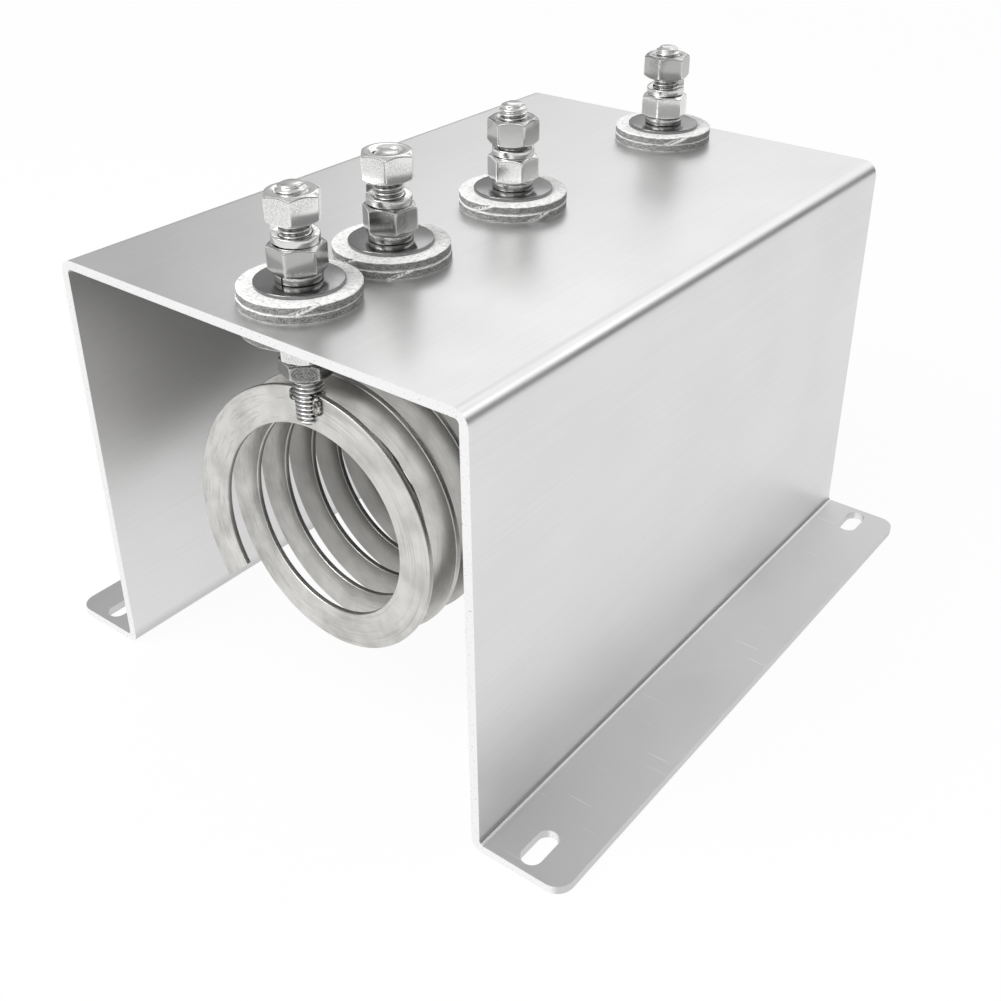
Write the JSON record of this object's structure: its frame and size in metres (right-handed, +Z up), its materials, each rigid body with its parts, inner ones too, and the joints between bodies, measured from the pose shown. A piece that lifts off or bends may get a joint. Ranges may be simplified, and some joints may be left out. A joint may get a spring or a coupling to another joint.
{
  "type": "power resistor",
  "caption": "Edge-wound strip coil hung on threaded studs under a folded sheet bracket with slotted feet, each stud insulated by mica discs and carrying nuts and washers.",
  "frame": {"origin": "centre of the bracket's plan, on the surface that its two feet stand on", "axes": "+Z up; +Y along the coil from its front end to its rear end, the longest extent; +X across the bracket, to the right seen from the front"},
  "size_m": [0.2372, 0.255, 0.1965],
  "materials": {
    "folded_sheet": "brushed, semi-gloss, with fine scratches",
    "resistance_strip": "smudged satin resistance alloy strip",
    "threaded_stud": "bright threaded steel",
    "plated_nut": "bright plated, with strong reflections",
    "plated_washer": "polished, mirror-like",
    "spring_steel": "bright plated spring steel",
    "mica": "matt, fibrous white faces and speckled grey rims",
    "weld_metal": "rippled weld metal"
  },
  "bodies": {
    "root": {"bracket": "folded_sheet", "resistance_coil": "resistance_strip", "stud_1": "threaded_stud", "top_nut_1": "plated_nut", "clamp_nut_1": "plated_nut", "plate_nut_1": "plated_nut", "jam_nut_1": "plated_nut", "loose_spring_washer_1": "spring_steel", "clamp_spring_washer_1": "spring_steel", "top_flat_washer_1": "plated_washer", "under_flat_washer_1": "plated_washer", "top_mica_discs_1": "mica", "under_mica_discs_1": "mica", "insulating_bush_1": "mica", "weld_beads_1": "weld_metal", "stud_2": "threaded_stud", "top_nut_2": "plated_nut", "clamp_nut_2": "plated_nut", "plate_nut_2": "plated_nut", "jam_nut_2": "plated_nut", "loose_spring_washer_2": "spring_steel", "clamp_spring_washer_2": "spring_steel", "top_flat_washer_2": "plated_washer", "under_flat_washer_2": "plated_washer", "top_mica_discs_2": "mica", "under_mica_discs_2": "mica", "insulating_bush_2": "mica", "weld_beads_2": "weld_metal", "stud_3": "threaded_stud", "top_nut_3": "plated_nut", "clamp_nut_3": "plated_nut", "plate_nut_3": "plated_nut", "jam_nut_3": "plated_nut", "loose_spring_washer_3": "spring_steel", "clamp_spring_washer_3": "spring_steel", "top_flat_washer_3": "plated_washer", "under_flat_washer_3": "plated_washer", "top_mica_discs_3": "mica", "under_mica_discs_3": "mica", "insulating_bush_3": "mica", "weld_beads_3": "weld_metal", "stud_4": "threaded_stud", "top_nut_4": "plated_nut", "clamp_nut_4": "plated_nut", "plate_nut_4": "plated_nut", "jam_nut_4": "plated_nut", "loose_spring_washer_4": "spring_steel", "clamp_spring_washer_4": "spring_steel", "top_flat_washer_4": "plated_washer", "under_flat_washer_4": "plated_washer", "top_mica_discs_4": "mica", "under_mica_discs_4": "mica", "insulating_bush_4": "mica", "weld_beads_4": "weld_metal"}
  },
  "joints": []
}
